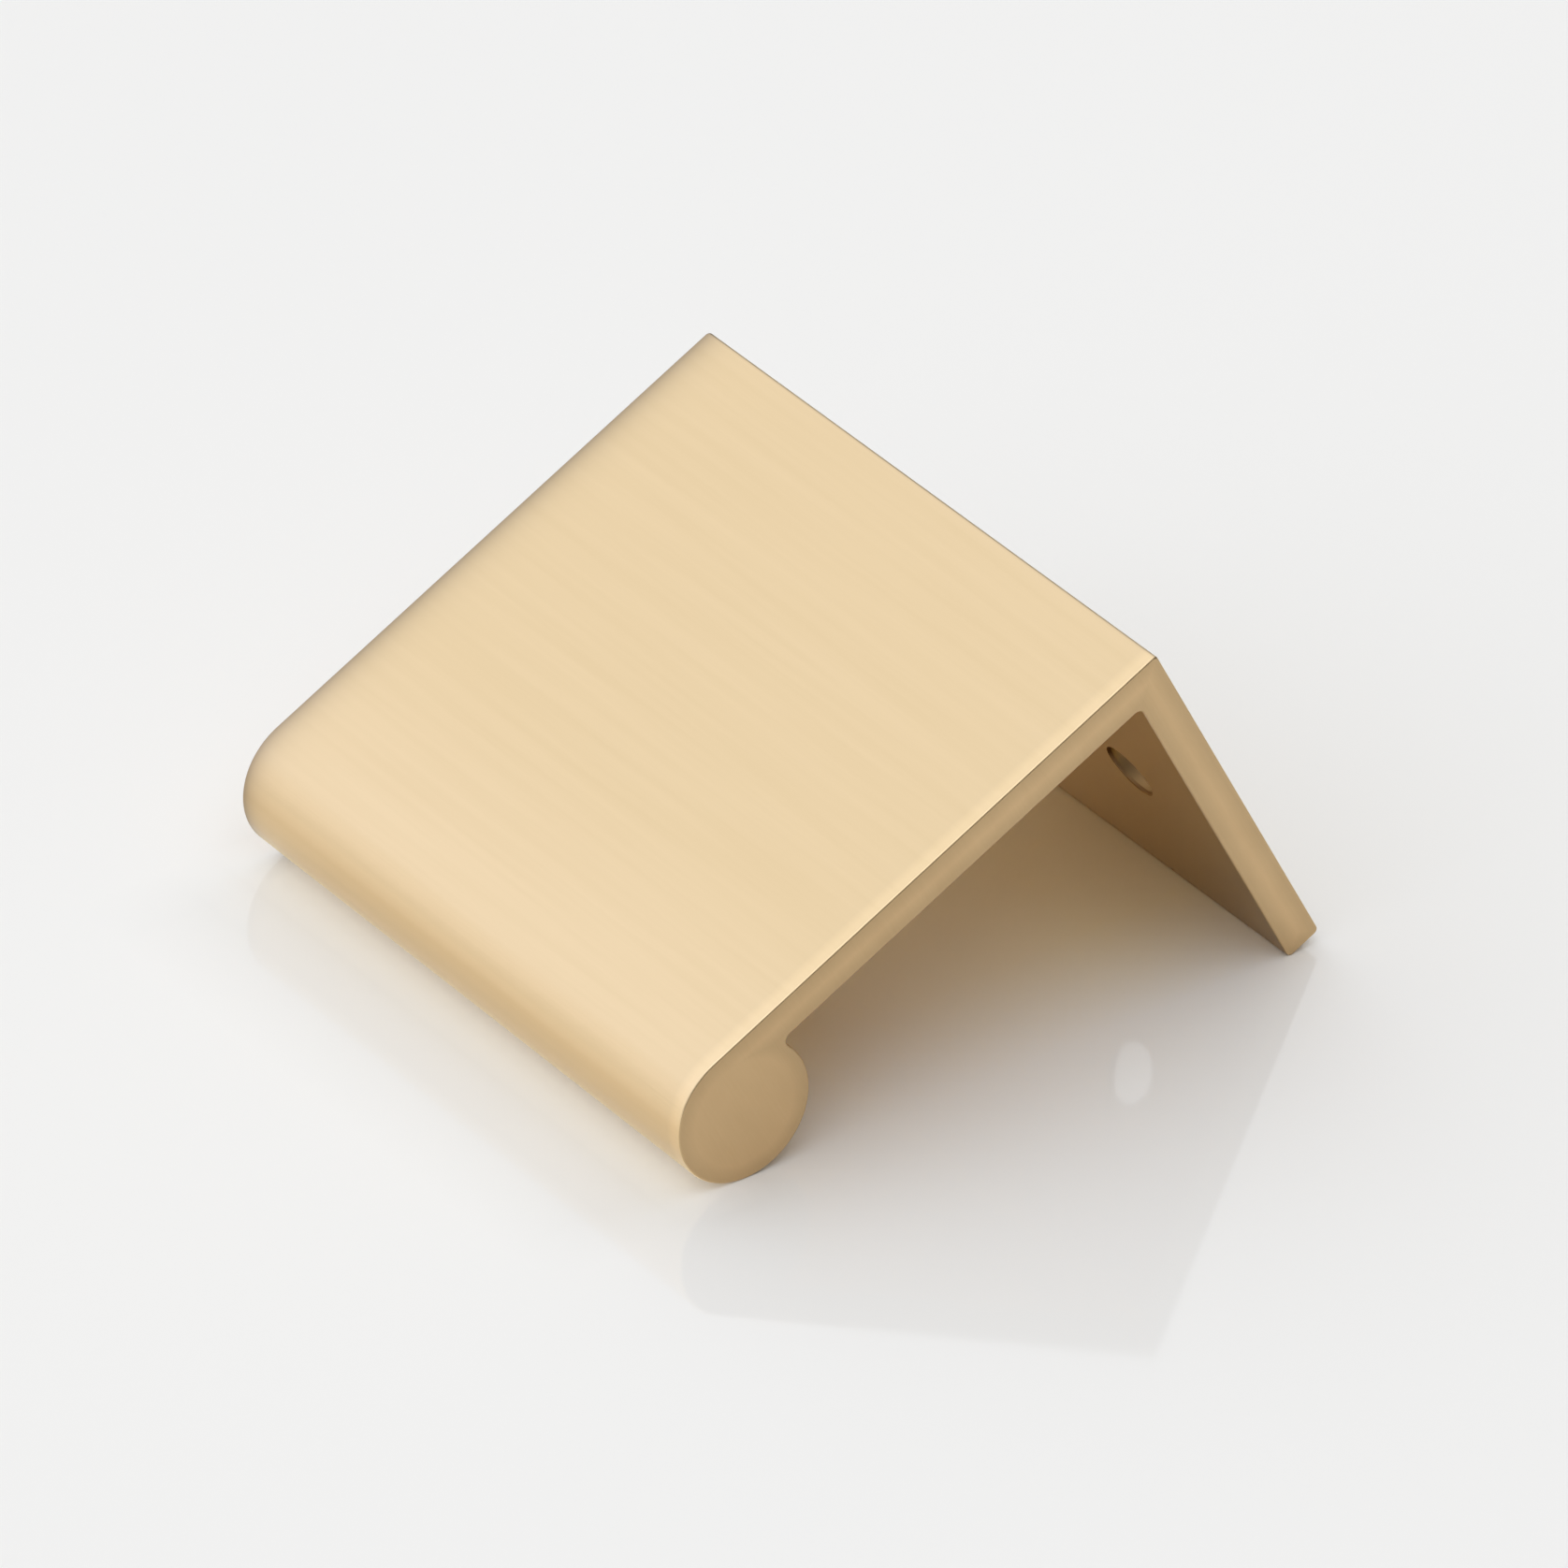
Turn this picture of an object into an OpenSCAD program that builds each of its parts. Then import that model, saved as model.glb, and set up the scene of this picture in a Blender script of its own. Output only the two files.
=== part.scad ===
// Edge pull for a drawer front or cabinet door, one bar of satin brass cut from an extrusion.
// The flat plate lies over the edge of the front, the leg is screwed to the back of the front,
// and the round bead hangs down ahead of the front, where the fingers take hold.
// The origin is the middle of the screw line on the mounting face of the leg.
// X runs along the cut length, Z points up, and the bead is towards minus Y.

/* [Bar] */
// Length of bar that is cut off for one pull
pull_length = 38; // [26:0.5:150]
// Thickness of the flat plate and of the leg
wall = 2.1; // [2:0.1:3]
// Radius that takes the sharpness off the outer corners of the section
corner_radius = 0.3; // [0.1:0.05:0.6]
// Radius of the hollow rounds that the die leaves in the inner corners of the section
inner_radius = 0.4; // [0.2:0.05:0.8]

/* [Plate] */
// Depth over everything, from the back of the leg to the front of the bead
plate_depth = 34.1; // [26:0.1:60]

/* [Bead] */
// Diameter of the round bead along the front edge
bead_diameter = 7.9; // [6:0.1:12]

/* [Leg] */
// Height of the leg, from the top of the plate to the lower end
leg_height = 22.6; // [16:0.1:40]

/* [Screw holes] */
// Distance from each cut end to the nearer hole
hole_inset = 7.2; // [5:0.1:12]
// Diameter of the hole where it leaves the mounting face
hole_diameter = 3.2; // [3:0.1:4.5]
// Diameter of the countersink at the back of the leg
sink_diameter = 6.5; // [5:0.1:6.8]
// Full angle of the countersink, in degrees
sink_angle = 82; // [82:1:90]

/* [Hidden] */

// Number of steps round a circle
round_steps = 96;
// Overrun of every cut, so that no cut ends on a face
overrun = 1;

bead_radius = bead_diameter / 2;
hole_radius = hole_diameter / 2;
sink_radius = sink_diameter / 2;
// How much the countersink widens for each unit of its depth
sink_slope = tan(sink_angle / 2);
sink_depth = (sink_radius - hole_radius) / sink_slope;

// The holes sit at mid-height of the mounting face, which starts under the plate
hole_drop = (leg_height + wall) / 2;
hole_spacing = pull_length - 2 * hole_inset;

// Heights of the section, measured from the screw line
plate_top = hole_drop;
plate_under = plate_top - wall;
leg_end = plate_top - leg_height;
// Places across the section, measured from the mounting face
leg_back = wall;
bead_front = leg_back - plate_depth;
bead_centre = bead_front + bead_radius;
bead_level = plate_top - bead_radius;

// Middle of the hollow round between the plate's underside and the bead: it touches both
notch_level = plate_under - inner_radius;
notch_rise = notch_level - bead_level;
notch_reach = bead_radius + inner_radius;
notch_centre = bead_centre + sqrt(notch_reach * notch_reach - notch_rise * notch_rise);

// One side of the section's outline: a flat strip whose far corners are eased.
// Its near end is left square, because it runs on into the rest of the section.
module eased_strip(reach, thickness) {
    flat_reach = reach - corner_radius;
    square([flat_reach, thickness]);
    translate([0, corner_radius])
        square([reach, thickness - 2 * corner_radius]);
    for (side = [corner_radius, thickness - corner_radius])
        translate([flat_reach, side])
            circle(r = corner_radius, $fn = round_steps);
}

// Leg, from the level of the plate's underside down to its eased end
module leg_outline() {
    translate([leg_back, plate_under])
        rotate(-90)
            mirror([0, 1])
                eased_strip(plate_under - leg_end, wall);
}

// Plate, from the middle of the bead back to the eased outer corner over the leg
module plate_outline() {
    strip_depth = leg_back - bead_centre;
    translate([bead_centre, plate_under])
        square([strip_depth - corner_radius, wall]);
    translate([bead_centre, plate_under])
        square([strip_depth, wall - corner_radius]);
    translate([leg_back - corner_radius, plate_top - corner_radius])
        circle(r = corner_radius, $fn = round_steps);
}

// Bead, a full round whose top is level with the top of the plate
module bead_outline() {
    translate([bead_centre, bead_level])
        circle(r = bead_radius, $fn = round_steps);
}

// Metal in the corner between the plate's underside and the leg, with a hollow round
module corner_fill() {
    difference() {
        translate([-inner_radius, notch_level])
            square(inner_radius);
        translate([-inner_radius, notch_level])
            circle(r = inner_radius, $fn = round_steps);
    }
}

// Metal in the notch between the plate's underside and the bead, with a hollow round
module notch_fill() {
    difference() {
        polygon([
            [bead_centre, bead_level],
            [notch_centre, notch_level],
            [notch_centre, plate_under],
            [bead_centre, plate_under]
        ]);
        translate([notch_centre, notch_level])
            circle(r = inner_radius, $fn = round_steps);
    }
}

// Section of the bar, drawn with the first axis to the back and the second one up
module section() {
    plate_outline();
    leg_outline();
    bead_outline();
    corner_fill();
    notch_fill();
}

// One screw hole, with the countersink opening at the back of the leg
module screw_cut() {
    rotate([-90, 0, 0]) {
        translate([0, 0, -overrun])
            cylinder(r = hole_radius, h = wall + 2 * overrun, $fn = round_steps);
        translate([0, 0, wall - sink_depth])
            cylinder(
                r1 = hole_radius,
                r2 = sink_radius + overrun * sink_slope,
                h = sink_depth + overrun,
                $fn = round_steps
            );
    }
}

module pull() {
    color([0.86, 0.73, 0.53])
        difference() {
            rotate([90, 0, 90])
                linear_extrude(height = pull_length, center = true)
                    section();
            for (side = [-1, 1])
                translate([side * hole_spacing / 2, 0, 0])
                    screw_cut();
        }
}

pull();
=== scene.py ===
# %% [markdown]
# # A satin brass edge pull
# An edge pull is a short length of extruded brass bar. Its flat plate lies over the top edge of a
# drawer front, its leg is screwed to the back of the front, and a round bead along the plate's
# free edge gives the fingers something to hold.
#
# The measured model comes first. Everything below is drawn in its frame: X runs along the cut
# length, Z points up, the bead is towards minus Y, and the origin is the middle of the screw line
# on the face of the leg that goes against the wood.

# %% Load the measured model
import math

import bmesh
import bpy
from mathutils import Matrix, Vector


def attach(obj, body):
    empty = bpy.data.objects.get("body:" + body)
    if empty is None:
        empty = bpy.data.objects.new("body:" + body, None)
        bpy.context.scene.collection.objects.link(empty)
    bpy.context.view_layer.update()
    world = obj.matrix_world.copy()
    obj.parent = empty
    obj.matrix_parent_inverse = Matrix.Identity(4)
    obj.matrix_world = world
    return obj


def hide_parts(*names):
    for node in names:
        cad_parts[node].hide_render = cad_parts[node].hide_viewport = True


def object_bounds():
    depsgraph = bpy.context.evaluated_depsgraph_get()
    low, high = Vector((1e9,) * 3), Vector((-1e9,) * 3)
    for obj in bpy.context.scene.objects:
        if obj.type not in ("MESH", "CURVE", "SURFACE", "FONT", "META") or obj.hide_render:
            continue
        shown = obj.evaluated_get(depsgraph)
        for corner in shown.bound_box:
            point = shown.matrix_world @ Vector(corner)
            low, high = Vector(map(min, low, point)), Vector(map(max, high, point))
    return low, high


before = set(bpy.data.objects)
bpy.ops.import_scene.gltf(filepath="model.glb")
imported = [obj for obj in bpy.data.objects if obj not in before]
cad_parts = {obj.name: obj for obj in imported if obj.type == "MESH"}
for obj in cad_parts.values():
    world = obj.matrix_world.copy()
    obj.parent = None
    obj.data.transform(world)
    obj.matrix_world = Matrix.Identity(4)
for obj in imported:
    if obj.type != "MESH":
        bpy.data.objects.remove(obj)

cad_low, cad_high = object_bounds()
MM = 0.001
print("measured size in mm:", [round(side / MM, 2) for side in cad_high - cad_low])

# %% [markdown]
# The bar's own sizes are the ones that a maker would write on the drawing. Naming each of them
# once keeps the bead, the walls and the screw holes tied together further down.

# %% Sizes of the bar
pull_length = 38 * MM
wall = 2.1 * MM
plate_depth = 34.1 * MM
leg_height = 22.6 * MM
bead_radius = 7.9 * MM / 2
corner_radius = 0.3 * MM
inner_radius = 0.4 * MM

plate_top = (leg_height + wall) / 2
plate_under = plate_top - wall
leg_end = plate_top - leg_height
bead_y = wall - plate_depth + bead_radius
bead_z = plate_top - bead_radius
hollow_z = plate_under - inner_radius
hollow_y = bead_y + math.sqrt((bead_radius + inner_radius) ** 2 - (hollow_z - bead_z) ** 2)
print("plate top", round(plate_top / MM, 2), "leg end", round(leg_end / MM, 2))

# %% [markdown]
# A pull that isn't screwed to anything rocks forward until it stands on the bead and on the lower
# corner of the leg, like a small tent. The floor is the line that touches both rounds from below,
# so its slope follows from the sizes. The pull keeps its own level frame here and the studio is
# tilted round it instead, which looks the same to the camera.

# %% Slope of the floor that the pull stands on
corner_y = corner_radius
corner_z = leg_end + corner_radius
reach_y = bead_y - corner_y
reach_z = bead_z - corner_z
reach = math.hypot(reach_y, reach_z)
tilt = math.atan2(reach_y, reach_z) + math.acos((bead_radius - corner_radius) / reach)
studio = Matrix.Rotation(-tilt, 3, "X")
floor_up = studio @ Vector((0, 0, 1))
floor_height = floor_up @ Vector((0, bead_y, bead_z)) - bead_radius
print("floor slope in degrees:", round(math.degrees(tilt), 2))

# %% [markdown]
# The camera looks down at the near cut end from the side of the bead. A long lens keeps parallel
# edges almost parallel, as in a catalogue picture. Turn, dip and roll are measured from the
# studio's level, and the aim is a point inside the pull.

# %% Camera
camera_turn = math.radians(54.755)
camera_dip = math.radians(32.93)
camera_roll = math.radians(-0.66)
camera_distance = 953.82 * MM
camera_aim = Vector((-1.076, -12.023, 2.883)) * MM
sensor_width = 36
camera_lens = 436.63
clip_margin = 10

forward = Vector((
    -math.sin(camera_turn) * math.cos(camera_dip),
    math.cos(camera_turn) * math.cos(camera_dip),
    -math.sin(camera_dip),
))
level_right = Vector((math.cos(camera_turn), math.sin(camera_turn), 0))
level_up = level_right.cross(forward)
right = level_right * math.cos(camera_roll) + level_up * math.sin(camera_roll)
up = level_up * math.cos(camera_roll) - level_right * math.sin(camera_roll)
axes = Matrix((right, up, -forward)).transposed()

camera_data = bpy.data.cameras.new("camera")
camera_data.sensor_width = sensor_width
camera_data.lens = camera_lens
camera_data.clip_start = camera_distance / clip_margin
camera_data.clip_end = camera_distance * clip_margin
camera = bpy.data.objects.new("camera", camera_data)
camera.matrix_world = (
    Matrix.Translation(camera_aim - studio @ forward * camera_distance)
    @ (studio @ axes).to_4x4()
)
bpy.context.scene.collection.objects.link(camera)
bpy.context.scene.camera = camera
print("camera stands at", [round(value / MM, 1) for value in camera.location])

# %% [markdown]
# The bar is one closed outline pushed along X. The outline is made of straight walls and true
# arcs, and it takes an inset: with an inset of zero it is the full section, and with a small one
# it is the same section drawn slightly inside the metal. Outer rounds shrink with the inset and
# hollow ones grow. Stacking a few insets at each end rounds the edges of the cut, which is what a
# deburring wheel does to the real ones.

# %% Outline of the section
BEAD_STEPS = 120
CORNER_STEPS = 8
HOLLOW_STEPS = 10


def arc(centre_y, centre_z, radius, first, last, steps):
    """Points (y, z) on a round, from the first angle to the last one, both in degrees."""
    points = []
    for step in range(steps + 1):
        angle = math.radians(first + (last - first) * step / steps)
        points.append((centre_y + radius * math.cos(angle), centre_z + radius * math.sin(angle)))
    return points


def outline(inset):
    """The section, drawn inset into the metal, from the inner corner round to the leg again."""
    hollow = inner_radius + inset
    corner = corner_radius - inset
    touch = math.degrees(math.atan2(hollow_z - bead_z, hollow_y - bead_y))
    points = arc(-inner_radius, hollow_z, hollow, 0, 90, HOLLOW_STEPS)
    points += arc(hollow_y, hollow_z, hollow, 90, 180 + touch, HOLLOW_STEPS)
    points += arc(bead_y, bead_z, bead_radius - inset, touch, -270, BEAD_STEPS)[1:]
    points += arc(wall - corner_radius, plate_top - corner_radius, corner, 90, 0, CORNER_STEPS)
    points += arc(wall - corner_radius, leg_end + corner_radius, corner, 0, -90, CORNER_STEPS)
    points += arc(corner_radius, leg_end + corner_radius, corner, -90, -180, CORNER_STEPS)
    return points


print("points in the outline:", len(outline(0)))

# %% [markdown]
# Each ring of the bar is one outline at one place along X. The first and last few rings make the
# quarter round at the cut ends, and a flat face closes each end.

# %% Build the bar
END_STEPS = 6
end_radius = 0.13 * MM


def end_rings():
    """Pairs of place along X and inset, from the left cut to the right one."""
    rings = []
    for step in range(END_STEPS + 1):
        angle = math.pi / 2 * step / END_STEPS
        back = end_radius * (1 - math.cos(angle))
        rings.append((-pull_length / 2 + back, end_radius * (1 - math.sin(angle))))
    return rings + [(-place, inset) for place, inset in reversed(rings)]


bar = bmesh.new()
rings = []
for place, inset in end_rings():
    rings.append([bar.verts.new((place, y, z)) for y, z in outline(inset)])
count = len(rings[0])
for left, right_ring in zip(rings, rings[1:]):
    for index in range(count):
        after = (index + 1) % count
        bar.faces.new((left[index], left[after], right_ring[after], right_ring[index]))
bar.faces.new(list(reversed(rings[0])))
bar.faces.new(rings[-1])
bmesh.ops.recalc_face_normals(bar, faces=bar.faces)
bar_mesh = bpy.data.meshes.new("bar")
bar.to_mesh(bar_mesh)
bar.free()
pull = bpy.data.objects.new("brass_pull", bar_mesh)
bpy.context.scene.collection.objects.link(pull)
print("bar:", len(bar_mesh.vertices), "points", len(bar_mesh.polygons), "faces")

# %% [markdown]
# Each screw hole is drilled from the mounting face and countersunk from the back, so that the
# screw head ends up level with the back of the leg. The cutting tool is a turned shape: a narrow
# shank, a cone, and a tiny flare at both faces, which leaves the broken edge of a real hole.

# %% Drill and countersink the leg
TURN_STEPS = 72
hole_radius = 3.2 * MM / 2
sink_radius = 6.5 * MM / 2
sink_slope = math.tan(math.radians(82) / 2)
sink_depth = (sink_radius - hole_radius) / sink_slope
hole_inset = 7.2 * MM
hole_x = pull_length / 2 - hole_inset
burr = 0.05 * MM
overrun = 0.4 * MM
flare = 2.4
cutter_profile = [
    (-overrun, hole_radius + burr + overrun),
    (burr, hole_radius),
    (wall - sink_depth, hole_radius),
    (wall - burr, sink_radius - burr * sink_slope),
    (wall + overrun, sink_radius - burr * sink_slope + (burr + overrun) * flare),
]


def cutter(centre_x):
    """A closed turned shape round an axis along Y, through the leg."""
    tool = bmesh.new()
    loops = []
    for depth, radius in cutter_profile:
        loop = []
        for step in range(TURN_STEPS):
            angle = 2 * math.pi * step / TURN_STEPS
            loop.append(tool.verts.new((
                centre_x + radius * math.cos(angle), depth, radius * math.sin(angle)
            )))
        loops.append(loop)
    for near, far in zip(loops, loops[1:]):
        for step in range(TURN_STEPS):
            after = (step + 1) % TURN_STEPS
            tool.faces.new((near[step], near[after], far[after], far[step]))
    tool.faces.new(loops[0])
    tool.faces.new(loops[-1])
    bmesh.ops.recalc_face_normals(tool, faces=tool.faces)
    mesh = bpy.data.meshes.new("cutter")
    tool.to_mesh(mesh)
    tool.free()
    return bpy.data.objects.new("cutter", mesh)


for side in (-1, 1):
    tool = cutter(side * hole_x)
    bpy.context.scene.collection.objects.link(tool)
    drill = pull.modifiers.new("drill", "BOOLEAN")
    drill.operation = "DIFFERENCE"
    drill.solver = "EXACT"
    drill.object = tool
    bpy.context.view_layer.update()
    drilled = bpy.data.meshes.new_from_object(
        pull.evaluated_get(bpy.context.evaluated_depsgraph_get())
    )
    pull.modifiers.clear()
    pull.data = drilled
    bpy.data.objects.remove(tool)
print("drilled:", len(pull.data.vertices), "points", len(pull.data.polygons), "faces")

# %% [markdown]
# Five finishes meet on the pull: the outer faces, brushed along the bar; the sawn and linished
# cut ends; the turned screw holes; the underside of the plate, deeper in colour; and the inside of
# the leg, which is taken to be as the die left it. Every face is sorted by where it
# lies and which way it looks. The same pass unrolls the bar into a texture map whose first axis
# follows the brushing. Each corner of a face is pulled a hair towards the middle of the face before
# it is measured, so that it can't be taken for a part of the next wall.

# %% Sort the faces by finish and unroll them
LONG, CUT, HOLE, INNER, LEG = range(5)
facing = math.cos(math.radians(45))
nearly_facing = 0.999
skin = MM / 100
corner_pull = 0.02
touch_share = bead_radius / (bead_radius + inner_radius)
touch_y = bead_y + (hollow_y - bead_y) * touch_share
touch_z = bead_z + (hollow_z - bead_z) * touch_share
full_outline = outline(0)
lengths = [0.0]
for (y0, z0), (y1, z1) in zip(full_outline, full_outline[1:] + full_outline[:1]):
    lengths.append(lengths[-1] + math.hypot(y1 - y0, z1 - z0))


def girth(y, z):
    """Distance round the section, in metres, of the outline's point that is nearest to y, z."""
    best = None
    closed = full_outline + full_outline[:1]
    for index in range(len(full_outline)):
        (y0, z0), (y1, z1) = closed[index], closed[index + 1]
        span = (y1 - y0) ** 2 + (z1 - z0) ** 2
        share = ((y - y0) * (y1 - y0) + (z - z0) * (z1 - z0)) / span
        share = min(max(share, 0), 1)
        gap = math.hypot(y - y0 - share * (y1 - y0), z - z0 - share * (z1 - z0))
        if best is None or gap < best[0]:
            best = (gap, lengths[index] + share * (lengths[index + 1] - lengths[index]))
    return best[1]


def finish_of(face):
    """Which of the finishes a face has."""
    middle = face.calc_center_median()
    across = math.hypot(abs(middle.x) - hole_x, middle.z)
    in_wall = -skin < middle.y < wall + skin
    if in_wall and across < sink_radius and abs(face.normal.y) < nearly_facing:
        return HOLE
    if abs(face.normal.x) > facing:
        return CUT
    if touch_y < middle.y < -skin and touch_z < middle.z < plate_under + end_radius + skin:
        return INNER
    if -skin < middle.y < end_radius + skin and face.normal.y < -facing:
        return LEG
    return LONG


work = bmesh.new()
work.from_mesh(pull.data)
work.normal_update()
grain_map = work.loops.layers.uv.new("grain")
tally = [0] * 5
for face in work.faces:
    finish = finish_of(face)
    tally[finish] += 1
    face.material_index = finish
    face.smooth = True
    middle = face.calc_center_median()
    home = girth(middle.y, middle.z)
    for loop in face.loops:
        point = loop.vert.co
        if finish in (LONG, INNER, LEG):
            inner = point.lerp(middle, corner_pull)
            around = girth(inner.y, inner.z)
            if abs(around - home) > lengths[-1] / 2:
                around += lengths[-1] if around < home else -lengths[-1]
            loop[grain_map].uv = (point.x, around)
        elif finish == CUT:
            loop[grain_map].uv = (point.y, point.z)
        else:
            turn = math.atan2(point.z, abs(point.x) - hole_x)
            loop[grain_map].uv = (point.y, turn * hole_radius)
work.to_mesh(pull.data)
work.free()
print("faces: long", tally[LONG], "cut", tally[CUT], "hole", tally[HOLE])
print("faces: under the plate", tally[INNER], "inside of the leg", tally[LEG])

# %% [markdown]
# Smooth shading blends the light from facet to facet, so that the bead looks round. Real corners
# must stay crisp, so every edge with a clear angle is marked sharp, and a weighted normal keeps
# the large flats truly flat right up to their small rounds.

# %% Shade the pull
sharp_angle = math.radians(32)
flat_weight = 100
pull.data.set_sharp_from_angle(angle=sharp_angle)
flats = pull.modifiers.new("true flats", "WEIGHTED_NORMAL")
flats.keep_sharp = True
flats.weight = flat_weight
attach(pull, "root")
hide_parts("pull")
print("sharp edges kept above", round(math.degrees(sharp_angle)), "degrees")

# %% [markdown]
# Satin brass is bare brass rubbed with a fine abrasive belt. Three things make it read as brass
# and not as yellow paint: a metallic shader, fine scratches that all run one way, and a colour
# that drifts a little where the belt pressed harder. The scratches are noise that is stretched a
# long way along the brushing and kept fine across it.

# %% Helpers for the finishes


def new_material(name, colour, roughness, anisotropy):
    """A metallic material with its plain settings, and its shader node."""
    material = bpy.data.materials.new(name)
    material.use_nodes = True
    material.diffuse_color = (*colour, 1)
    shader = material.node_tree.nodes["Principled BSDF"]
    shader.inputs["Metallic"].default_value = 1
    shader.inputs["Base Color"].default_value = (*colour, 1)
    shader.inputs["Roughness"].default_value = roughness
    shader.inputs["Anisotropic"].default_value = anisotropy
    return material, shader


def node(material, kind, **settings):
    """Adds a node and sets its plain properties."""
    made = material.node_tree.nodes.new(kind)
    for name, value in settings.items():
        setattr(made, name, value)
    return made


def link(material, source, target):
    material.node_tree.links.new(source, target)


def stretched_noise(material, stretch, detail=2):
    """Noise in the pull's own space; stretch gives its cells per metre along X, Y and Z."""
    place = node(material, "ShaderNodeTexCoord")
    scale = node(material, "ShaderNodeMapping")
    scale.inputs["Scale"].default_value = stretch
    noise = node(material, "ShaderNodeTexNoise")
    noise.inputs["Scale"].default_value = 1
    noise.inputs["Detail"].default_value = detail
    link(material, place.outputs["Object"], scale.inputs["Vector"])
    link(material, scale.outputs["Vector"], noise.inputs["Vector"])
    return noise.outputs["Fac"]


def spread(material, value, low, high, first=0, last=1):
    """Maps a value from first to last onto low to high, and holds it there outside."""
    remap = node(material, "ShaderNodeMapRange")
    remap.inputs["From Min"].default_value = first
    remap.inputs["From Max"].default_value = last
    remap.inputs["To Min"].default_value = low
    remap.inputs["To Max"].default_value = high
    link(material, value, remap.inputs["Value"])
    return remap.outputs["Result"]


def arithmetic(material, operation, first, second=None):
    """One step of arithmetic on a socket and a socket or a number."""
    step = node(material, "ShaderNodeMath", operation=operation)
    link(material, first, step.inputs[0])
    if isinstance(second, (int, float)):
        step.inputs[1].default_value = second
    elif second is not None:
        link(material, second, step.inputs[1])
    return step.outputs[0]


def blend_colour(material, value, dark, light):
    """A colour between dark and light."""
    mix = node(material, "ShaderNodeMix", data_type="RGBA")
    mix.inputs["A"].default_value = (*dark, 1)
    mix.inputs["B"].default_value = (*light, 1)
    link(material, value, mix.inputs["Factor"])
    return mix.outputs["Result"]


def tint(material, colour, value, tone):
    """Multiplies a colour by a tone where the value is 1, and leaves it alone where it is 0."""
    mix = node(material, "ShaderNodeMix", data_type="RGBA", blend_type="MULTIPLY")
    mix.inputs["B"].default_value = (*tone, 1)
    link(material, value, mix.inputs["Factor"])
    link(material, colour, mix.inputs["A"])
    return mix.outputs["Result"]


def place_on(material):
    """The X, Y and Z of the shaded point in the object's own frame, in metres."""
    place = node(material, "ShaderNodeTexCoord")
    parts = node(material, "ShaderNodeSeparateXYZ")
    link(material, place.outputs["Object"], parts.inputs[0])
    return parts.outputs["X"], parts.outputs["Y"], parts.outputs["Z"]


def scratch(material, shader, height, depth):
    """Turns a height from 0 to 1 into a bump of the given depth in metres."""
    bump = node(material, "ShaderNodeBump")
    bump.inputs["Strength"].default_value = 1
    bump.inputs["Distance"].default_value = depth
    link(material, height, bump.inputs["Height"])
    link(material, bump.outputs["Normal"], shader.inputs["Normal"])


print("helpers ready")

# %% [markdown]
# The long faces: brushing lines about a tenth of a millimetre apart and many millimetres long.
# Anisotropy follows the texture map's first axis, so highlights smear across the bar, as they do
# on any brushed metal.
#
# In the photograph the bead's tone changes with height: pale along the top, deeper gold at the
# front, pale again below. That is light and shade on the round bead, painted in: a colour ramp
# over the height holds those painted highlights and painted shade, and it fades into the plain
# tone of the plate behind the bead. The picture also has a thin dark line at the far cut, painted
# in as painted shade, and a light one at the near cut, painted in as a painted highlight. All of
# these were fitted to the one picture by comparing renders with it.

# %% Finish of the long faces, with painted light and shade
noise_low = 0.3
noise_high = 0.7
long_lines = (120, 9000, 9000)
long_streaks = (60, 1600, 1600)
long_rough = (0.43, 0.33)
long_depth = 0.006 * MM
plate_tone = (0.785, 0.622, 0.398)
bead_low = 6.0 * MM
bead_light_and_shade_tones = [
    (6.4, (0.800, 0.650, 0.420)),
    (7.0, (0.880, 0.725, 0.460)),
    (7.8, (0.885, 0.730, 0.465)),
    (8.4, (0.790, 0.640, 0.415)),
    (8.9, (0.770, 0.600, 0.375)),
    (9.6, (0.765, 0.580, 0.338)),
    (10.5, (0.800, 0.592, 0.337)),
    (11.1, (0.860, 0.655, 0.395)),
    (11.8, (0.820, 0.640, 0.413)),
    (12.05, (0.825, 0.655, 0.437)),
    (12.35, (0.820, 0.655, 0.438)),
]
streak_tone = (0.955, 0.945, 0.920)
far_cut_shade_tone = (0.45, 0.45, 0.51)
far_cut_shade_width = 0.7 * MM
near_cut_highlight_tone = (1.10, 1.10, 1.10)
near_cut_highlight_width = 1.0 * MM
near_cut_highlight_full = 0.45 * MM
long_brass, shader = new_material("brushed_brass", plate_tone, roughness=0.36, anisotropy=0.35)
lines = stretched_noise(long_brass, long_lines)
streaks = stretched_noise(long_brass, long_streaks)
streaks = spread(long_brass, streaks, 1, 0, noise_low, noise_high)
at_x, at_y, at_z = place_on(long_brass)

# Painted highlight and painted shade on the bead: its tone is set by height.
bead_light_ramp = node(long_brass, "ShaderNodeValToRGB")
stops = bead_light_ramp.color_ramp.elements
while len(stops) < len(bead_light_and_shade_tones):
    stops.new(1)
for stop, (level, tone) in zip(stops, bead_light_and_shade_tones):
    stop.position = (level * MM - bead_low) / (plate_top - bead_low)
    stop.color = (*tone, 1)
link(long_brass, spread(long_brass, at_z, 0, 1, bead_low, plate_top), bead_light_ramp.inputs[0])

behind_bead = spread(long_brass, at_y, 0, 1, bead_y, bead_y + 2 * bead_radius)
colour = node(long_brass, "ShaderNodeMix", data_type="RGBA")
colour.inputs["B"].default_value = (*plate_tone, 1)
link(long_brass, behind_bead, colour.inputs["Factor"])
link(long_brass, bead_light_ramp.outputs["Color"], colour.inputs["A"])
colour = tint(long_brass, colour.outputs["Result"], streaks, streak_tone)
far_end, near_end = -pull_length / 2, pull_length / 2
# Painted shade: a thin dark line along the far cut, fading away towards the near cut.
from_cut = spread(long_brass, at_x, 0, -pull_length / far_cut_shade_width, far_end, near_end)
colour = tint(long_brass, colour, arithmetic(long_brass, "EXPONENT", from_cut), far_cut_shade_tone)
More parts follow.
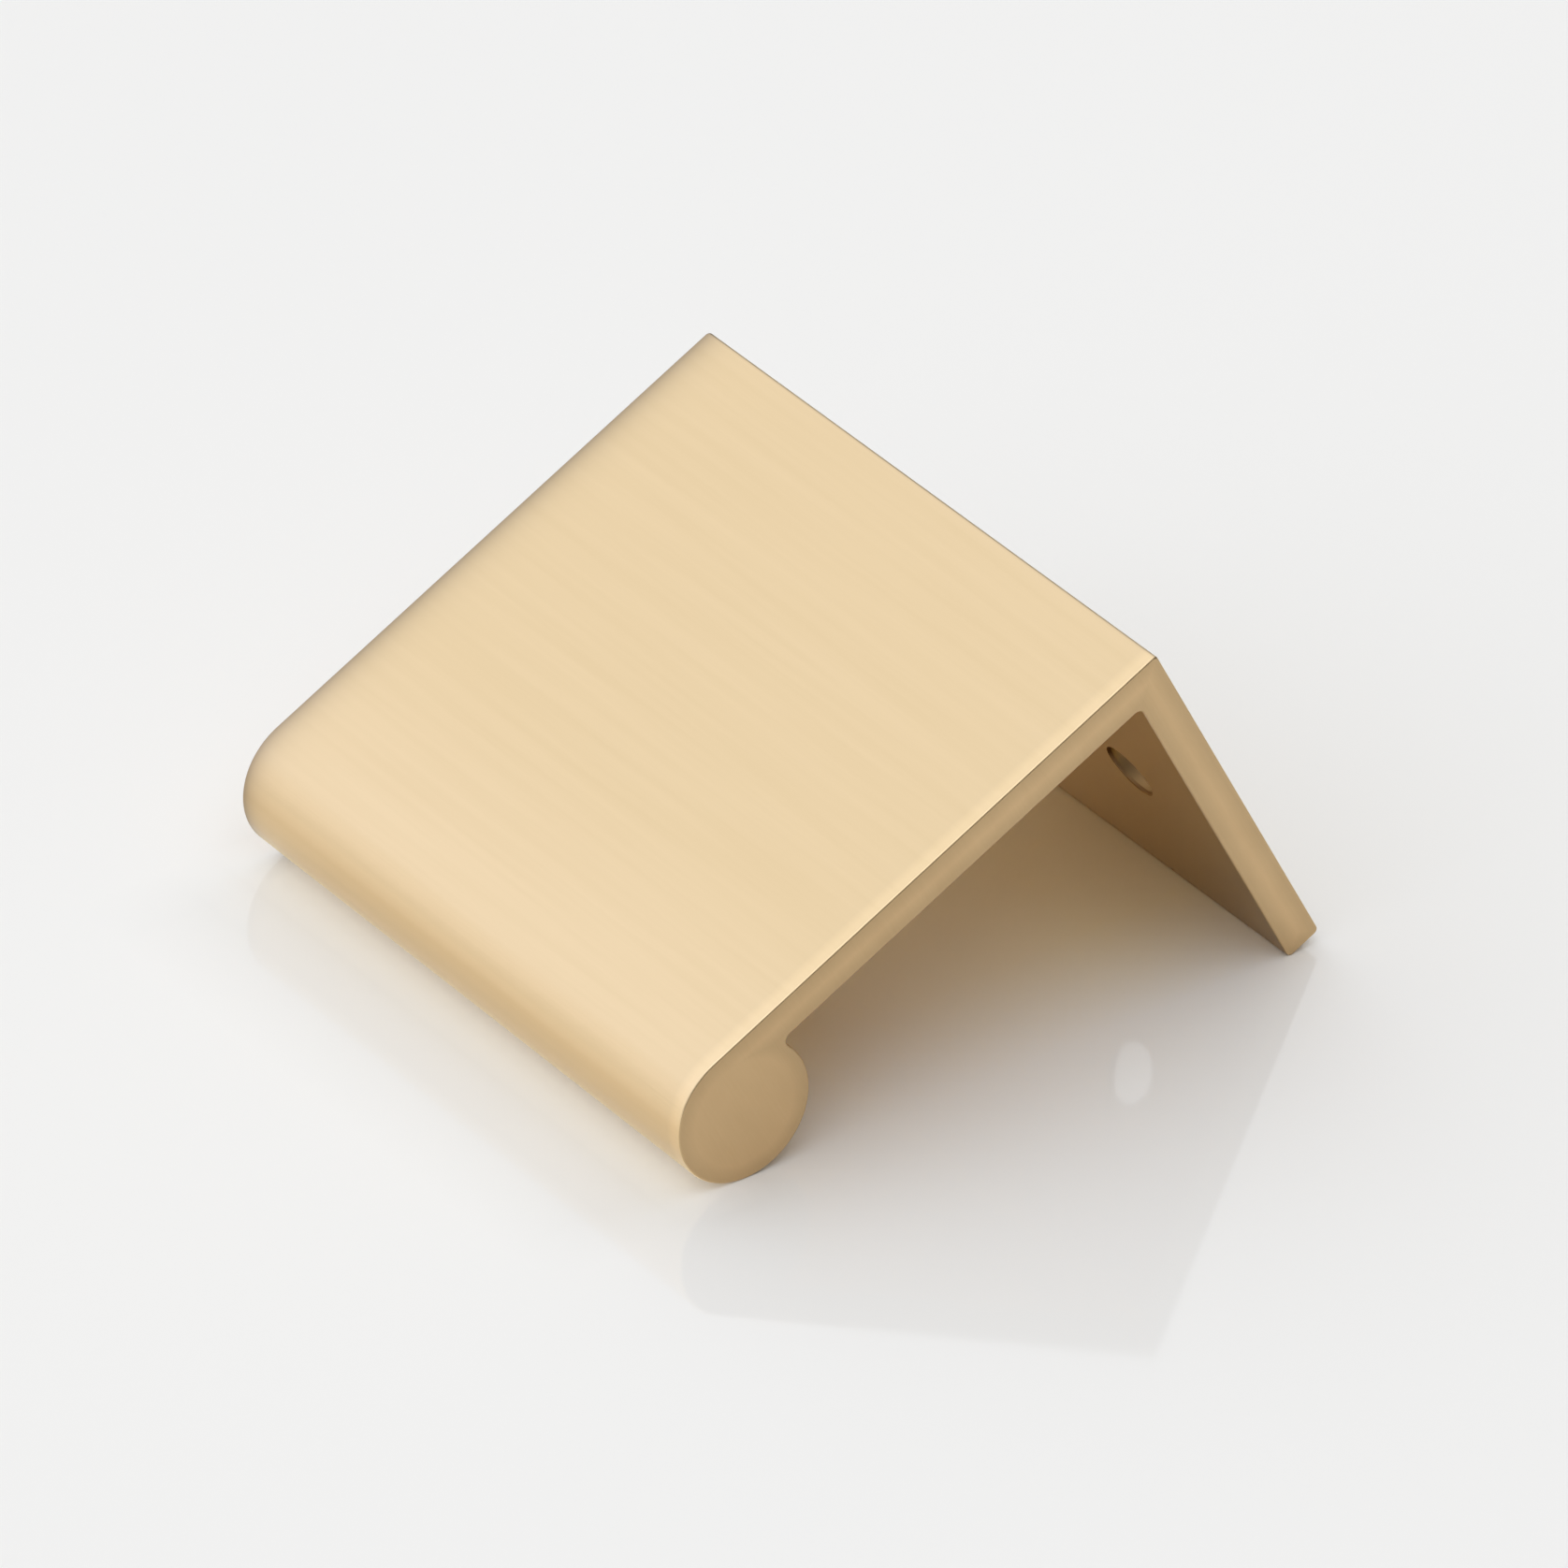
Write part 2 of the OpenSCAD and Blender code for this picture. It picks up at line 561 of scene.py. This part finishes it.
# Painted highlight: a light band along the near cut.
highlight_band = spread(long_brass, at_x, 0, 1, near_end - near_cut_highlight_width, near_end - near_cut_highlight_full)
colour = tint(long_brass, colour, highlight_band, near_cut_highlight_tone)
link(long_brass, colour, shader.inputs["Base Color"])
link(long_brass, spread(long_brass, streaks, *long_rough), shader.inputs["Roughness"])
scratch(long_brass, shader, lines, long_depth)
along = node(long_brass, "ShaderNodeTangent", direction_type="UV_MAP", uv_map="grain")
link(long_brass, along.outputs["Tangent"], shader.inputs["Tangent"])
pull.data.materials.append(long_brass)
print("long faces:", long_brass.name)

# %% [markdown]
# The cut ends are sawn and then linished flat, so their lines are shorter and coarser and run
# down the section. They are a little deeper in colour than the brushed faces, and a slightly
# darker rim of painted shade along their outline is fitted to the picture too. The painted shade
# rim needs the depth inside the section: the section is a disc and two boxes, and the depth in a
# joined shape is the largest of its parts'.

# %% Finish of the cut ends, with a painted shade rim
cut_dark = (0.68, 0.485, 0.265)
cut_light = (0.75, 0.54, 0.30)
cut_lines = (1, 6500, 400)
cut_patches = (1, 500, 300)
cut_rough = (0.40, 0.52)
cut_depth = 0.006 * MM
rim_shade_tone = (0.88, 0.88, 0.88)
rim_shade_full = 0.30 * MM
rim_shade_width = 1.00 * MM
cut_brass, shader = new_material("linished_brass", cut_light, roughness=0.45, anisotropy=0.2)
lines = stretched_noise(cut_brass, cut_lines)
patches = stretched_noise(cut_brass, cut_patches, 3)
colour = blend_colour(cut_brass, patches, cut_dark, cut_light)
at_y, at_z = place_on(cut_brass)[1:]


def depth_in(value, low, high):
    """How far a value lies inside a span, and nothing outside it."""
    off = arithmetic(cut_brass, "SUBTRACT", value, (low + high) / 2)
    off = arithmetic(cut_brass, "ABSOLUTE", off)
    return spread(cut_brass, off, (high - low) / 2, 0, 0, (high - low) / 2)


def depth_in_box(span_y, span_z):
    """How far the shaded point lies inside an upright box of the section."""
    return arithmetic(cut_brass, "MINIMUM", depth_in(at_y, *span_y), depth_in(at_z, *span_z))


side_y = arithmetic(cut_brass, "SUBTRACT", at_y, bead_y)
side_z = arithmetic(cut_brass, "SUBTRACT", at_z, bead_z)
side_y2 = arithmetic(cut_brass, "MULTIPLY", side_y, side_y)
side_z2 = arithmetic(cut_brass, "MULTIPLY", side_z, side_z)
from_axis = arithmetic(cut_brass, "SQRT", arithmetic(cut_brass, "ADD", side_y2, side_z2))
in_bead = spread(cut_brass, from_axis, bead_radius, 0, 0, bead_radius)
in_plate = depth_in_box((bead_y, wall), (plate_under, plate_top))
in_leg = depth_in_box((0, wall), (leg_end, plate_top))
in_flats = arithmetic(cut_brass, "MAXIMUM", in_plate, in_leg)
depth = arithmetic(cut_brass, "MAXIMUM", in_bead, in_flats)
# Painted shade: a darker rim along the outline of each cut end.
rim_shade_band = spread(cut_brass, depth, 1, 0, rim_shade_full, rim_shade_width)
colour = tint(cut_brass, colour, rim_shade_band, rim_shade_tone)
link(cut_brass, colour, shader.inputs["Base Color"])
link(cut_brass, spread(cut_brass, lines, *cut_rough), shader.inputs["Roughness"])
scratch(cut_brass, shader, lines, cut_depth)
pull.data.materials.append(cut_brass)
print("cut ends:", cut_brass.name)

# %% [markdown]
# The screw holes are turned with a countersink bit, which leaves fine rings round the axis. The
# one that the picture shows lies in dark brown shade, and both are given that as painted shade,
# fitted to it: darker at the top, lighter towards the bottom, and patchy. The rings are a guess: a
# sine of the distance from the nearer axis, found with a few lines of arithmetic.

# %% Finish and painted shade of the screw holes
ring_pitch = 0.12 * MM
ring_depth = 0.00075 * MM
hole_chatter = (900, 900, 900)
tarnish_share = (0.7, 1.3)
hole_deep_shade = (0.16, 0.085, 0.032)
hole_pale_shade = (0.39, 0.245, 0.115)
hole_edge = (0.45, 0.32, 0.18)
hole_rough = (0.42, 0.52)
hole_brass, shader = new_material("turned_brass", hole_pale_shade, roughness=0.45, anisotropy=0)
shader.inputs["Specular Tint"].default_value = (*hole_edge, 1)

at_x, at_y, at_z = place_on(hole_brass)
aside = arithmetic(hole_brass, "SUBTRACT", arithmetic(hole_brass, "ABSOLUTE", at_x), hole_x)
square_x = arithmetic(hole_brass, "MULTIPLY", aside, aside)
square_z = arithmetic(hole_brass, "MULTIPLY", at_z, at_z)
distance = arithmetic(hole_brass, "SQRT", arithmetic(hole_brass, "ADD", square_x, square_z))
wave = arithmetic(
    hole_brass, "SINE", arithmetic(hole_brass, "MULTIPLY", distance, 2 * math.pi / ring_pitch)
)
scratch(hole_brass, shader, spread(hole_brass, wave, 0, 1), ring_depth)
chatter = stretched_noise(hole_brass, hole_chatter)
# Painted shade in the holes: dark brown, darker at the top and lighter towards the bottom.
fall = spread(hole_brass, at_z, 1, 0, -hole_radius / 2, hole_radius / 4)
uneven = spread(hole_brass, chatter, *tarnish_share)
fall = arithmetic(hole_brass, "MULTIPLY", fall, uneven)
colour = blend_colour(hole_brass, fall, hole_deep_shade, hole_pale_shade)
link(hole_brass, colour, shader.inputs["Base Color"])
link(hole_brass, spread(hole_brass, chatter, *hole_rough), shader.inputs["Roughness"])
pull.data.materials.append(hole_brass)
print("screw holes:", hole_brass.name)

# %% [markdown]
# The picture doesn't show the underside of the plate, only the golden light that it throws on the
# floor. So it is given a deeper colour than the top, and a less even brushing, as a guess.

# %% Finish under the plate
under_dark = (0.93, 0.64, 0.22)
under_light = (0.97, 0.68, 0.25)
under_lines = (90, 5200, 5200)
under_bloom = (160, 420, 420)
under_rough = (0.45, 0.55)
under_depth = 0.005 * MM
under_brass, shader = new_material("underside_brass", under_light, roughness=0.38, anisotropy=0.25)
lines = stretched_noise(under_brass, under_lines)
bloom = stretched_noise(under_brass, under_bloom, 3)
bloom = spread(under_brass, bloom, 0, 1, noise_low, noise_high)
colour = blend_colour(under_brass, bloom, under_dark, under_light)
link(under_brass, colour, shader.inputs["Base Color"])
link(under_brass, spread(under_brass, bloom, *under_rough), shader.inputs["Roughness"])
scratch(under_brass, shader, lines, under_depth)
pull.data.materials.append(under_brass)
print("under the plate:", under_brass.name)

# %% [markdown]
# The inside of the leg is the darkest face in the picture. It is taken to keep the smooth skin of
# the die, with faint lines that run the whole length. Its colour is painted shade, fitted on a
# slant: darkest at the near foot, and lighter up the leg and towards the far end of the corner
# under the plate.

# %% Finish and painted shade inside the leg
leg_deep_shade = (0.43, 0.295, 0.155)
leg_pale_shade = (0.75, 0.570, 0.370)
leg_slant = 1.1
leg_bright_to = 9.6 * MM
leg_dark_from = 24 * MM
leg_die = (8, 1900, 1900)
leg_stain = (200, 260, 260)
stain_swing = 0.1
leg_rough = (0.25, 0.33)
leg_depth = 0.001 * MM
leg_brass, shader = new_material("drawn_brass", leg_deep_shade, roughness=0.30, anisotropy=0.2)
die_lines = stretched_noise(leg_brass, leg_die)
stain = stretched_noise(leg_brass, leg_stain, 3)
at_x, at_y, at_z = place_on(leg_brass)
# Painted shade inside the leg: darkest at the near foot, lighter up and away from it.
slant = arithmetic(leg_brass, "MULTIPLY", at_z, -leg_slant)
leg_light_slant = arithmetic(leg_brass, "ADD", slant, at_x)
leg_light_slant = spread(leg_brass, leg_light_slant, 1, 0, leg_bright_to, leg_dark_from)
leg_light_slant = arithmetic(leg_brass, "ADD", leg_light_slant, spread(leg_brass, stain, -stain_swing, stain_swing))
colour = blend_colour(leg_brass, leg_light_slant, leg_deep_shade, leg_pale_shade)
link(leg_brass, colour, shader.inputs["Base Color"])
link(leg_brass, spread(leg_brass, stain, *leg_rough), shader.inputs["Roughness"])
scratch(leg_brass, shader, die_lines, leg_depth)
pull.data.materials.append(leg_brass)
print("inside of the leg:", leg_brass.name)

# %% [markdown]
# The floor is a disc that lies on the slope worked out above. It reaches well beyond the pull, so
# that its own edge never shows.

# %% Floor
FLOOR_STEPS = 96
floor_radius = 400 * MM

floor_mesh = bpy.data.meshes.new("floor")
disc = bmesh.new()
bmesh.ops.create_circle(disc, cap_ends=True, segments=FLOOR_STEPS, radius=floor_radius)
disc.to_mesh(floor_mesh)
disc.free()
floor = bpy.data.objects.new("floor", floor_mesh)
floor_middle = Vector((0, (cad_low.y + cad_high.y) / 2, 0))
floor_middle += floor_up * (floor_height - floor_up @ floor_middle)
floor.matrix_world = Matrix.Translation(floor_middle) @ studio.to_4x4()
bpy.context.scene.collection.objects.link(floor)
print("floor radius in mm:", round(floor_radius / MM))

# %% [markdown]
# The floor's material is white acrylic: matt white under a clear gloss, so it holds both a soft
# shadow and a faint mirror image. The matt part also takes a little glow, which the next cell
# places.

# %% White acrylic
mirror_share = 0.07
mirror_roughness = 0.06

acrylic = bpy.data.materials.new("white_acrylic")
acrylic.use_nodes = True
acrylic.node_tree.nodes.clear()
white = node(acrylic, "ShaderNodeBsdfDiffuse")
glow = node(acrylic, "ShaderNodeEmission")
lit_white = node(acrylic, "ShaderNodeAddShader")
link(acrylic, white.outputs[0], lit_white.inputs[0])
link(acrylic, glow.outputs[0], lit_white.inputs[1])
gloss = node(acrylic, "ShaderNodeBsdfAnisotropic")
gloss.inputs["Roughness"].default_value = mirror_roughness
gloss.inputs["Color"].default_value = (1, 1, 1, 1)
sheet = node(acrylic, "ShaderNodeMixShader")
sheet.inputs["Fac"].default_value = mirror_share
link(acrylic, lit_white.outputs[0], sheet.inputs[1])
link(acrylic, gloss.outputs[0], sheet.inputs[2])
print("gloss share", mirror_share)

# %% [markdown]
# In the picture the floor stays light right up to the line where the bead touches it, and a plain
# matt floor comes out much darker there. So this is a fitted correction, with no known cause: a
# narrow glow along the bead and a slightly darker strip beyond. Both are placed by the distance
# ahead of the contact line, and they end with the pull.

# %% Correction in front of the bead
floor_colour = (0.93, 0.93, 0.925)
floor_shade = (0.875, 0.878, 0.875)
strip_reach = 60 * MM
strip_fade = 2 * MM
glow_level = 0.15
glow_behind = 0.8 * MM
glow_full = 2.6 * MM
glow_reach = 4.8 * MM
shade_near = 4.5 * MM
shade_mid = 7.5 * MM
shade_far = 13 * MM

half_length = pull_length / 2
contact = Vector((0, bead_y, bead_z)) - floor_up * bead_radius
contact_y = (studio.transposed() @ (contact - floor_middle)).y
back_y, front_y = contact_y + strip_reach, contact_y - strip_reach
at_x, at_y, at_z = place_on(acrylic)
aside = arithmetic(acrylic, "ABSOLUTE", at_x)
ahead = spread(acrylic, at_y, strip_reach, -strip_reach, front_y, back_y)
beside = spread(acrylic, aside, 1, 0, half_length - strip_fade, half_length + strip_fade)

near_bead = spread(acrylic, ahead, glow_level, 0, glow_full, glow_reach)
started = spread(acrylic, ahead, 0, 1, -glow_behind, glow_behind)
near_bead = arithmetic(acrylic, "MULTIPLY", near_bead, started)
near_bead = arithmetic(acrylic, "MULTIPLY", near_bead, beside)
link(acrylic, near_bead, glow.inputs["Strength"])

darker = spread(acrylic, ahead, 0, 1, shade_near, shade_mid)
lighter = spread(acrylic, ahead, 1, 0, shade_mid, shade_far)
shade = arithmetic(acrylic, "MULTIPLY", darker, lighter)
shade = arithmetic(acrylic, "MULTIPLY", shade, beside)
floor_tone = blend_colour(acrylic, shade, floor_colour, floor_shade)
print("the bead touches the floor at", round(contact_y / MM, 2), "mm")

# %% [markdown]
# Deep under the plate the picture's floor is browner than the light bounced from the brass makes
# it here. A warm tone on the floor makes up the difference, which is again a fitted correction. It
# stops where the foot of the leg stands, so the open floor behind the pull stays white.

# %% Correction under the plate
warm_tone = (1.0, 0.91, 0.68)
warm_start = 12 * MM
warm_full = 27 * MM
warm_middle = 11 * MM
foot_fade = 1 * MM

foot = math.sqrt(reach ** 2 - (bead_radius - corner_radius) ** 2)
deep = spread(acrylic, ahead, 1, 0, -warm_full, -warm_start)
central = spread(acrylic, aside, 1, 0, warm_middle, half_length)
before_foot = spread(acrylic, ahead, 0, 1, -foot - foot_fade, -foot)
inside = arithmetic(acrylic, "MULTIPLY", deep, central)
inside = arithmetic(acrylic, "MULTIPLY", inside, before_foot)
link(acrylic, tint(acrylic, floor_tone, inside, warm_tone), white.inputs["Color"])
print("the foot stands", round(foot / MM, 2), "mm behind the bead")

# %% [markdown]
# Well beyond the pull the floor fades into the plain background. Only the camera sees that fade:
# for the light and for reflections the sheet stays whole. Seen from below it lets the camera
# through, so that the underside of the pull can be looked at too.

# %% Fade the floor out
solid_radius = 110 * MM
fade_radius = 230 * MM

place = node(acrylic, "ShaderNodeTexCoord")
far = node(acrylic, "ShaderNodeVectorMath", operation="LENGTH")
link(acrylic, place.outputs["Object"], far.inputs[0])
fade = node(acrylic, "ShaderNodeMapRange", interpolation_type="SMOOTHSTEP")
fade.inputs["From Min"].default_value = solid_radius
fade.inputs["From Max"].default_value = fade_radius
link(acrylic, far.outputs["Value"], fade.inputs["Value"])
surface = node(acrylic, "ShaderNodeNewGeometry")
gone = arithmetic(acrylic, "MAXIMUM", fade.outputs["Result"], surface.outputs["Backfacing"])
rays = node(acrylic, "ShaderNodeLightPath")
gone = arithmetic(acrylic, "MULTIPLY", gone, rays.outputs["Is Camera Ray"])
clear = node(acrylic, "ShaderNodeBsdfTransparent")
shown = node(acrylic, "ShaderNodeMixShader")
link(acrylic, gone, shown.inputs["Fac"])
link(acrylic, sheet.outputs[0], shown.inputs[1])
link(acrylic, clear.outputs[0], shown.inputs[2])
output = node(acrylic, "ShaderNodeOutputMaterial")
link(acrylic, shown.outputs[0], output.inputs["Surface"])
floor.data.materials.append(acrylic)
print("the floor fades from", round(solid_radius / MM), "to", round(fade_radius / MM), "mm")

# %% [markdown]
# The light is like that of a small product tent: a broad white dome that is bright overhead and
# towards the left front, and falls off to a dim room behind the pull on the right. That fall-off
# makes the cut ends and the inside of the leg darker than the plate. One weaker panel at the upper
# right lifts the cut ends and the shaded floor again. The real lamps aren't known.
#
# Both are the world's own light. A direction's brightness follows from how closely it points along
# the axis of the dome or of the panel, which is the dot product of the two.

# %% Dome and panel
dome_axis = (studio @ Vector((-0.42, -0.32, 0.85))).normalized()
dome_level = 1.11
dim_level = 0.12
dim_edge = 0.05
bright_edge = 0.62
panel_axis = (studio @ Vector((0.45, -0.22, 0.865))).normalized()
panel_level = 0.55
panel_edge = math.cos(math.radians(28))
panel_core = math.cos(math.radians(12))

world = bpy.data.worlds.new("tent")
bpy.context.scene.world = world
world.use_nodes = True
world.node_tree.nodes.clear()
way = node(world, "ShaderNodeTexCoord")


def soft_light(axis, edge, core, low, high):
    """Brightness low beyond the edge of a round light and high inside its core."""
    lean = node(world, "ShaderNodeVectorMath", operation="DOT_PRODUCT")
    lean.inputs[1].default_value = axis
    link(world, way.outputs["Generated"], lean.inputs[0])
    level = node(world, "ShaderNodeMapRange", interpolation_type="SMOOTHSTEP")
    level.inputs["From Min"].default_value = edge
    level.inputs["From Max"].default_value = core
    level.inputs["To Min"].default_value = low
    level.inputs["To Max"].default_value = high
    link(world, lean.outputs["Value"], level.inputs["Value"])
    return level.outputs["Result"]


dome = soft_light(dome_axis, dim_edge, bright_edge, dim_level, dome_level)
panel = soft_light(panel_axis, panel_edge, panel_core, 0, panel_level)
tent = node(world, "ShaderNodeBackground")
tent.inputs["Color"].default_value = (1, 1, 1, 1)
link(world, arithmetic(world, "ADD", dome, panel), tent.inputs["Strength"])
print("dome level", dome_level, "dim level", dim_level, "panel level", panel_level)

# %% [markdown]
# The camera itself doesn't look at the dome. Where it sees past the floor it gets a plain, nearly
# white backdrop at the level of the lit floor.

# %% Backdrop
backdrop_colour = (1, 1, 0.995)
backdrop_level = 0.90

backdrop = node(world, "ShaderNodeBackground")
backdrop.inputs["Color"].default_value = (*backdrop_colour, 1)
backdrop.inputs["Strength"].default_value = backdrop_level
rays = node(world, "ShaderNodeLightPath")
choice = node(world, "ShaderNodeMixShader")
link(world, rays.outputs["Is Camera Ray"], choice.inputs["Fac"])
link(world, tent.outputs[0], choice.inputs[1])
link(world, backdrop.outputs[0], choice.inputs[2])
world_output = node(world, "ShaderNodeOutputWorld")
link(world, choice.outputs[0], world_output.inputs["Surface"])
print("backdrop level", backdrop_level)

# %% [markdown]
# The picture is shown as the colours are written, with no film look on top.

# %% Picture settings
bpy.context.scene.view_settings.view_transform = "Standard"
